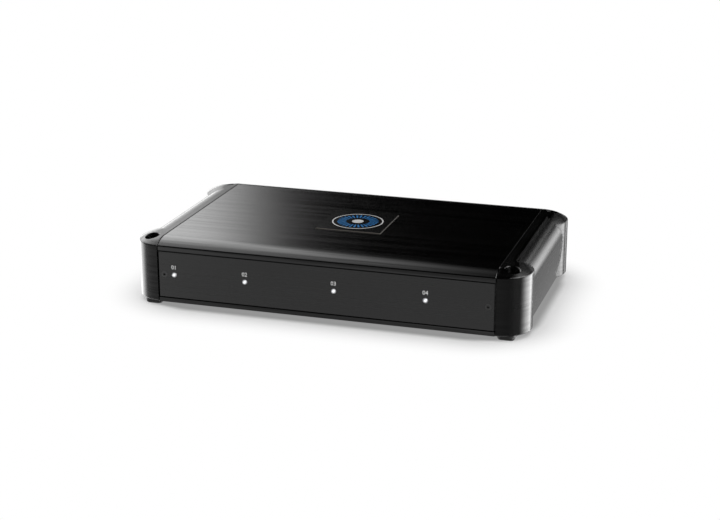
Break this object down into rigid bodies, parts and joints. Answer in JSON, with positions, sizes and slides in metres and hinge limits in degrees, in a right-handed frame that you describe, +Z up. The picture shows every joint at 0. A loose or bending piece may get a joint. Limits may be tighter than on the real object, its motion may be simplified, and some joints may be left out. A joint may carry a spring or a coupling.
{
  "type": "car amplifier",
  "caption": "Low, wide car audio amplifier: black anodised shell with rounded long edges, domed cast end caps with fixing holes, inset lamp panel, socket panel behind.",
  "frame": {"origin": "on the ground under the middle of the case, level with the bottom of the feet", "axes": "+X along the case, -Y out of the lamp panel, +Y out of the socket panel, +Z up"},
  "size_m": [0.352, 0.2102, 0.0608],
  "materials": {
    "anodised_shell": "black anodised, fine brushing along the length",
    "anodised_caps": "black anodised, fine level machining lines",
    "anodised_panels": "black anodised, fine brushing",
    "badge": "black anodised with polished bevels",
    "black_steel": "black powder coat",
    "foot_rubber": "matt",
    "black_screws": "black oxide",
    "zinc_screws": "zinc plated",
    "lamp_lens": "water clear",
    "board": "green solder resist",
    "nylon": "natural",
    "cable_sheath": "grey ribbon",
    "black_moulding": "fine matt",
    "plated_shell": "nickel plated",
    "red_insert": "satin",
    "white_insert": "satin",
    "shaft_plastic": "satin",
    "slider_plastic": "satin",
    "terminal_brass": "plated",
    "terminal_steel": "nickel plated",
    "fuse_body": "translucent",
    "fuse_blades": "zinc",
    "transformer_winding": "taped winding",
    "choke_winding": "enamelled wire",
    "capacitor_sleeve": "shrink sleeve",
    "bare_aluminium": "mill finish",
    "transistor_body": "moulded",
    "spring_steel": "plain"
  },
  "bodies": {
    "case": {"chassis": "anodised_shell", "end_cap_left": "anodised_caps", "end_cap_right": "anodised_caps", "front_panel": "anodised_panels", "rear_panel": "anodised_panels", "badge_plate": "badge", "bottom_plate": "black_steel", "foot_front_left": "foot_rubber", "foot_front_right": "foot_rubber", "foot_rear_left": "foot_rubber", "foot_rear_right": "foot_rubber", "bottom_plate_screws": "black_screws", "end_cap_screws": "black_screws", "front_panel_screws": "black_screws", "rear_panel_screws": "black_screws", "board_screws": "zinc_screws", "lamp_board_screws": "zinc_screws", "spreader_screws": "zinc_screws", "clamp_bar_screws": "zinc_screws", "power_lamp": "lamp_lens", "clip_lamp_1": "lamp_lens", "clip_lamp_2": "lamp_lens", "clip_lamp_3": "lamp_lens", "main_board": "board", "input_board": "board", "lamp_board": "board", "lamp_board_spacers": "nylon", "lamp_cable": "cable_sheath", "line_socket_block": "black_moulding", "control_housings": "black_moulding", "switch_frames": "black_moulding", "speaker_terminal_block": "black_moulding", "power_terminal_block": "black_moulding", "fuse_socket": "black_moulding", "line_socket_shells": "plated_shell", "line_socket_inserts_low": "red_insert", "line_socket_inserts_high": "white_insert", "speaker_clamps": "terminal_brass", "power_clamps": "terminal_brass", "speaker_screws": "terminal_steel", "power_screws": "terminal_steel", "fuse_low": "fuse_body", "fuse_high": "fuse_body", "fuse_blades": "fuse_blades", "transformer": "transformer_winding", "output_chokes": "choke_winding", "reservoir_capacitors": "capacitor_sleeve", "heat_spreader": "bare_aluminium", "power_transistors": "transistor_body", "transistor_clamp_bar": "spring_steel"},
    "level_shaft_1": {"level_shaft_1": "shaft_plastic"},
    "filter_shaft_1": {"filter_shaft_1": "shaft_plastic"},
    "level_shaft_2": {"level_shaft_2": "shaft_plastic"},
    "filter_shaft_2": {"filter_shaft_2": "shaft_plastic"},
    "level_shaft_3": {"level_shaft_3": "shaft_plastic"},
    "filter_shaft_3": {"filter_shaft_3": "shaft_plastic"},
    "mode_slider_1": {"mode_slider_1": "slider_plastic"},
    "mode_slider_2": {"mode_slider_2": "slider_plastic"},
    "mode_slider_3": {"mode_slider_3": "slider_plastic"}
  },
  "joints": [
    {"name": "level_1_turn", "type": "hinge", "parent": "case", "child": "level_shaft_1", "pos_m": [-0.0882, 0.0938, 0.024], "axis": [0, 1, 0], "range_deg": [-135, 135]},
    {"name": "filter_1_turn", "type": "hinge", "parent": "case", "child": "filter_shaft_1", "pos_m": [-0.0772, 0.0938, 0.024], "axis": [0, 1, 0], "range_deg": [-135, 135]},
    {"name": "level_2_turn", "type": "hinge", "parent": "case", "child": "level_shaft_2", "pos_m": [-0.0637, 0.0938, 0.024], "axis": [0, 1, 0], "range_deg": [-135, 135]},
    {"name": "filter_2_turn", "type": "hinge", "parent": "case", "child": "filter_shaft_2", "pos_m": [-0.0527, 0.0938, 0.024], "axis": [0, 1, 0], "range_deg": [-135, 135]},
    {"name": "level_3_turn", "type": "hinge", "parent": "case", "child": "level_shaft_3", "pos_m": [-0.0392, 0.0938, 0.024], "axis": [0, 1, 0], "range_deg": [-135, 135]},
    {"name": "filter_3_turn", "type": "hinge", "parent": "case", "child": "filter_shaft_3", "pos_m": [-0.0282, 0.0938, 0.024], "axis": [0, 1, 0], "range_deg": [-135, 135]},
    {"name": "mode_1_slide", "type": "slide", "parent": "case", "child": "mode_slider_1", "axis": [1, 0, 0], "range_m": [-0.002, 0.002]},
    {"name": "mode_2_slide", "type": "slide", "parent": "case", "child": "mode_slider_2", "axis": [1, 0, 0], "range_m": [-0.002, 0.002]},
    {"name": "mode_3_slide", "type": "slide", "parent": "case", "child": "mode_slider_3", "axis": [1, 0, 0], "range_m": [-0.002, 0.002]}
  ]
}
